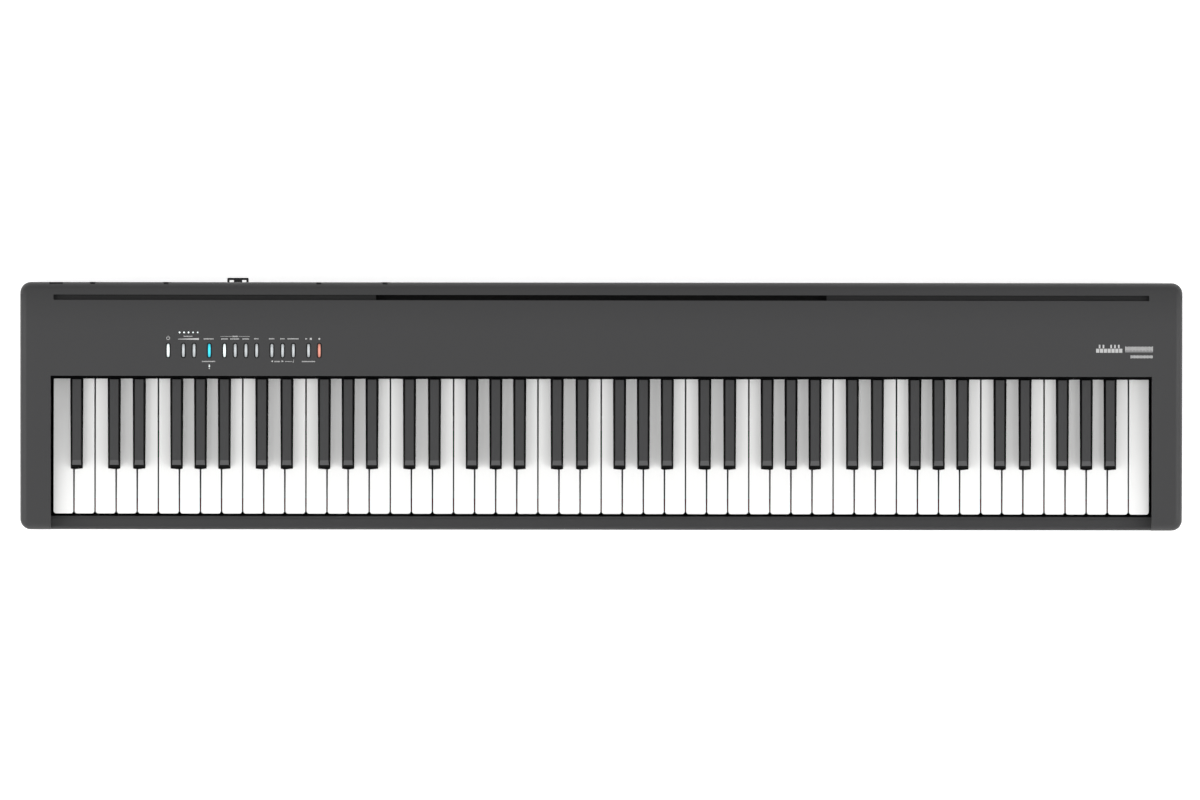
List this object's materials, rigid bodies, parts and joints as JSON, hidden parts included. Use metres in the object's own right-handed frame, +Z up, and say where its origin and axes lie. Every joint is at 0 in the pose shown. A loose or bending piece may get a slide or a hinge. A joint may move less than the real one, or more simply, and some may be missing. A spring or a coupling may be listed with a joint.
{
  "type": "digital piano",
  "caption": "Slab digital piano with a full weighted keyboard, sprung panel buttons, music rest slot, rear sockets, cord hook and threaded stand inserts underneath.",
  "frame": {"origin": "on the floor under the middle of the whole object, feet and cord hook included", "axes": "+X to the treble end, +Y to the rear, +Z up"},
  "size_m": [1.3, 0.282, 0.1509],
  "materials": {
    "charcoal_case": "matte",
    "underside_case": "matte",
    "charcoal_slip": "matte",
    "black_panel": "matte",
    "black_felt": "matte",
    "socket_black": "satin",
    "socket_metal": "satin",
    "chassis_resin": "satin",
    "steel": "satin",
    "hammer_steel": "satin",
    "guide_resin": "satin",
    "action_felt": "matte",
    "board_green": "satin",
    "dome_rubber": "matte",
    "lamp_clear": "satin",
    "speaker_metal": "satin",
    "grille_metal": "matte",
    "foot_rubber": "matte",
    "brass": "satin",
    "screw_steel": "satin",
    "white_key": "satin",
    "black_key": "matte",
    "button_cap": "satin"
  },
  "bodies": {
    "case": {"upper_case": "charcoal_case", "lower_case": "underside_case", "key_slip": "charcoal_slip", "rear_jack_panel": "black_panel", "cord_hook": "black_panel", "name_felt": "black_felt", "jack_sockets": "socket_black", "data_sockets": "socket_metal", "key_chassis": "chassis_resin", "key_pivot_rod": "steel", "hammer_pivot_rod": "steel", "key_guides": "guide_resin", "action_felts": "action_felt", "sensor_board": "board_green", "sensor_domes": "dome_rubber", "panel_board": "board_green", "main_board": "board_green", "level_lamps": "lamp_clear", "loudspeakers": "speaker_metal", "speaker_grilles": "grille_metal", "rubber_feet": "foot_rubber", "stand_inserts": "brass", "assembly_screws": "screw_steel"},
    "c_keys": {"c_keys": "white_key"},
    "c_hammers": {"c_hammers": "hammer_steel"},
    "c_sharp_keys": {"c_sharp_keys": "black_key"},
    "c_sharp_hammers": {"c_sharp_hammers": "hammer_steel"},
    "d_keys": {"d_keys": "white_key"},
    "d_hammers": {"d_hammers": "hammer_steel"},
    "d_sharp_keys": {"d_sharp_keys": "black_key"},
    "d_sharp_hammers": {"d_sharp_hammers": "hammer_steel"},
    "e_keys": {"e_keys": "white_key"},
    "e_hammers": {"e_hammers": "hammer_steel"},
    "f_keys": {"f_keys": "white_key"},
    "f_hammers": {"f_hammers": "hammer_steel"},
    "f_sharp_keys": {"f_sharp_keys": "black_key"},
    "f_sharp_hammers": {"f_sharp_hammers": "hammer_steel"},
    "g_keys": {"g_keys": "white_key"},
    "g_hammers": {"g_hammers": "hammer_steel"},
    "g_sharp_keys": {"g_sharp_keys": "black_key"},
    "g_sharp_hammers": {"g_sharp_hammers": "hammer_steel"},
    "a_keys": {"a_keys": "white_key"},
    "a_hammers": {"a_hammers": "hammer_steel"},
    "a_sharp_keys": {"a_sharp_keys": "black_key"},
    "a_sharp_hammers": {"a_sharp_hammers": "hammer_steel"},
    "b_keys": {"b_keys": "white_key"},
    "b_hammers": {"b_hammers": "hammer_steel"},
    "power_button": {"power_button": "button_cap"},
    "volume_down_button": {"volume_down_button": "button_cap"},
    "volume_up_button": {"volume_up_button": "button_cap"},
    "function_button": {"function_button": "button_cap"},
    "piano_tone_button": {"piano_tone_button": "button_cap"},
    "second_tone_button": {"second_tone_button": "button_cap"},
    "third_tone_button": {"third_tone_button": "button_cap"},
    "split_button": {"split_button": "button_cap"},
    "song_button": {"song_button": "button_cap"},
    "accompaniment_button": {"accompaniment_button": "button_cap"},
    "metronome_button": {"metronome_button": "button_cap"},
    "play_button": {"play_button": "button_cap"},
    "record_button": {"record_button": "button_cap"}
  },
  "joints": [
    {"name": "c_keys_press", "type": "hinge", "parent": "case", "child": "c_keys", "pos_m": [0, 0.099, 0.104], "axis": [1, 0, 0], "range_deg": [0, 2.6]},
    {"name": "c_hammers_swing", "type": "hinge", "parent": "case", "child": "c_hammers", "pos_m": [0, -0.016, 0.078], "axis": [1, 0, 0], "range_deg": [0, 10.15]},
    {"name": "c_sharp_keys_press", "type": "hinge", "parent": "case", "child": "c_sharp_keys", "pos_m": [0, 0.099, 0.104], "axis": [1, 0, 0], "range_deg": [0, 2.6]},
    {"name": "c_sharp_hammers_swing", "type": "hinge", "parent": "case", "child": "c_sharp_hammers", "pos_m": [0, -0.016, 0.078], "axis": [1, 0, 0], "range_deg": [0, 10.15]},
    {"name": "d_keys_press", "type": "hinge", "parent": "case", "child": "d_keys", "pos_m": [0, 0.099, 0.104], "axis": [1, 0, 0], "range_deg": [0, 2.6]},
    {"name": "d_hammers_swing", "type": "hinge", "parent": "case", "child": "d_hammers", "pos_m": [0, -0.016, 0.078], "axis": [1, 0, 0], "range_deg": [0, 10.15]},
    {"name": "d_sharp_keys_press", "type": "hinge", "parent": "case", "child": "d_sharp_keys", "pos_m": [0, 0.099, 0.104], "axis": [1, 0, 0], "range_deg": [0, 2.6]},
    {"name": "d_sharp_hammers_swing", "type": "hinge", "parent": "case", "child": "d_sharp_hammers", "pos_m": [0, -0.016, 0.078], "axis": [1, 0, 0], "range_deg": [0, 10.15]},
    {"name": "e_keys_press", "type": "hinge", "parent": "case", "child": "e_keys", "pos_m": [0, 0.099, 0.104], "axis": [1, 0, 0], "range_deg": [0, 2.6]},
    {"name": "e_hammers_swing", "type": "hinge", "parent": "case", "child": "e_hammers", "pos_m": [0, -0.016, 0.078], "axis": [1, 0, 0], "range_deg": [0, 10.15]},
    {"name": "f_keys_press", "type": "hinge", "parent": "case", "child": "f_keys", "pos_m": [0, 0.099, 0.104], "axis": [1, 0, 0], "range_deg": [0, 2.6]},
    {"name": "f_hammers_swing", "type": "hinge", "parent": "case", "child": "f_hammers", "pos_m": [0, -0.016, 0.078], "axis": [1, 0, 0], "range_deg": [0, 10.15]},
    {"name": "f_sharp_keys_press", "type": "hinge", "parent": "case", "child": "f_sharp_keys", "pos_m": [0, 0.099, 0.104], "axis": [1, 0, 0], "range_deg": [0, 2.6]},
    {"name": "f_sharp_hammers_swing", "type": "hinge", "parent": "case", "child": "f_sharp_hammers", "pos_m": [0, -0.016, 0.078], "axis": [1, 0, 0], "range_deg": [0, 10.15]},
    {"name": "g_keys_press", "type": "hinge", "parent": "case", "child": "g_keys", "pos_m": [0, 0.099, 0.104], "axis": [1, 0, 0], "range_deg": [0, 2.6]},
    {"name": "g_hammers_swing", "type": "hinge", "parent": "case", "child": "g_hammers", "pos_m": [0, -0.016, 0.078], "axis": [1, 0, 0], "range_deg": [0, 10.15]},
    {"name": "g_sharp_keys_press", "type": "hinge", "parent": "case", "child": "g_sharp_keys", "pos_m": [0, 0.099, 0.104], "axis": [1, 0, 0], "range_deg": [0, 2.6]},
    {"name": "g_sharp_hammers_swing", "type": "hinge", "parent": "case", "child": "g_sharp_hammers", "pos_m": [0, -0.016, 0.078], "axis": [1, 0, 0], "range_deg": [0, 10.15]},
    {"name": "a_keys_press", "type": "hinge", "parent": "case", "child": "a_keys", "pos_m": [0, 0.099, 0.104], "axis": [1, 0, 0], "range_deg": [0, 2.6]},
    {"name": "a_hammers_swing", "type": "hinge", "parent": "case", "child": "a_hammers", "pos_m": [0, -0.016, 0.078], "axis": [1, 0, 0], "range_deg": [0, 10.15]},
    {"name": "a_sharp_keys_press", "type": "hinge", "parent": "case", "child": "a_sharp_keys", "pos_m": [0, 0.099, 0.104], "axis": [1, 0, 0], "range_deg": [0, 2.6]},
    {"name": "a_sharp_hammers_swing", "type": "hinge", "parent": "case", "child": "a_sharp_hammers", "pos_m": [0, -0.016, 0.078], "axis": [1, 0, 0], "range_deg": [0, 10.15]},
    {"name": "b_keys_press", "type": "hinge", "parent": "case", "child": "b_keys", "pos_m": [0, 0.099, 0.104], "axis": [1, 0, 0], "range_deg": [0, 2.6]},
    {"name": "b_hammers_swing", "type": "hinge", "parent": "case", "child": "b_hammers", "pos_m": [0, -0.016, 0.078], "axis": [1, 0, 0], "range_deg": [0, 10.15]},
    {"name": "power_button_press", "type": "slide", "parent": "case", "child": "power_button", "axis": [0, 0.1045, -0.9945], "range_m": [0, 0.0008], "stiffness_N_per_m": 500},
    {"name": "volume_down_button_press", "type": "slide", "parent": "case", "child": "volume_down_button", "axis": [0, 0.1045, -0.9945], "range_m": [0, 0.0008], "stiffness_N_per_m": 500},
    {"name": "volume_up_button_press", "type": "slide", "parent": "case", "child": "volume_up_button", "axis": [0, 0.1045, -0.9945], "range_m": [0, 0.0008], "stiffness_N_per_m": 500},
    {"name": "function_button_press", "type": "slide", "parent": "case", "child": "function_button", "axis": [0, 0.1045, -0.9945], "range_m": [0, 0.0008], "stiffness_N_per_m": 500},
    {"name": "piano_tone_button_press", "type": "slide", "parent": "case", "child": "piano_tone_button", "axis": [0, 0.1045, -0.9945], "range_m": [0, 0.0008], "stiffness_N_per_m": 500},
    {"name": "second_tone_button_press", "type": "slide", "parent": "case", "child": "second_tone_button", "axis": [0, 0.1045, -0.9945], "range_m": [0, 0.0008], "stiffness_N_per_m": 500},
    {"name": "third_tone_button_press", "type": "slide", "parent": "case", "child": "third_tone_button", "axis": [0, 0.1045, -0.9945], "range_m": [0, 0.0008], "stiffness_N_per_m": 500},
    {"name": "split_button_press", "type": "slide", "parent": "case", "child": "split_button", "axis": [0, 0.1045, -0.9945], "range_m": [0, 0.0008], "stiffness_N_per_m": 500},
    {"name": "song_button_press", "type": "slide", "parent": "case", "child": "song_button", "axis": [0, 0.1045, -0.9945], "range_m": [0, 0.0008], "stiffness_N_per_m": 500},
    {"name": "accompaniment_button_press", "type": "slide", "parent": "case", "child": "accompaniment_button", "axis": [0, 0.1045, -0.9945], "range_m": [0, 0.0008], "stiffness_N_per_m": 500},
    {"name": "metronome_button_press", "type": "slide", "parent": "case", "child": "metronome_button", "axis": [0, 0.1045, -0.9945], "range_m": [0, 0.0008], "stiffness_N_per_m": 500},
    {"name": "play_button_press", "type": "slide", "parent": "case", "child": "play_button", "axis": [0, 0.1045, -0.9945], "range_m": [0, 0.0008], "stiffness_N_per_m": 500},
    {"name": "record_button_press", "type": "slide", "parent": "case", "child": "record_button", "axis": [0, 0.1045, -0.9945], "range_m": [0, 0.0008], "stiffness_N_per_m": 500}
  ],
  "couplings": [
    {"joint": "c_hammers_swing", "follows": "c_keys_press", "ratio": 3.9},
    {"joint": "c_sharp_hammers_swing", "follows": "c_sharp_keys_press", "ratio": 3.9},
    {"joint": "d_hammers_swing", "follows": "d_keys_press", "ratio": 3.9},
    {"joint": "d_sharp_hammers_swing", "follows": "d_sharp_keys_press", "ratio": 3.9},
    {"joint": "e_hammers_swing", "follows": "e_keys_press", "ratio": 3.9},
    {"joint": "f_hammers_swing", "follows": "f_keys_press", "ratio": 3.9},
    {"joint": "f_sharp_hammers_swing", "follows": "f_sharp_keys_press", "ratio": 3.9},
    {"joint": "g_hammers_swing", "follows": "g_keys_press", "ratio": 3.9},
    {"joint": "g_sharp_hammers_swing", "follows": "g_sharp_keys_press", "ratio": 3.9},
    {"joint": "a_hammers_swing", "follows": "a_keys_press", "ratio": 3.9},
    {"joint": "a_sharp_hammers_swing", "follows": "a_sharp_keys_press", "ratio": 3.9},
    {"joint": "b_hammers_swing", "follows": "b_keys_press", "ratio": 3.9}
  ]
}
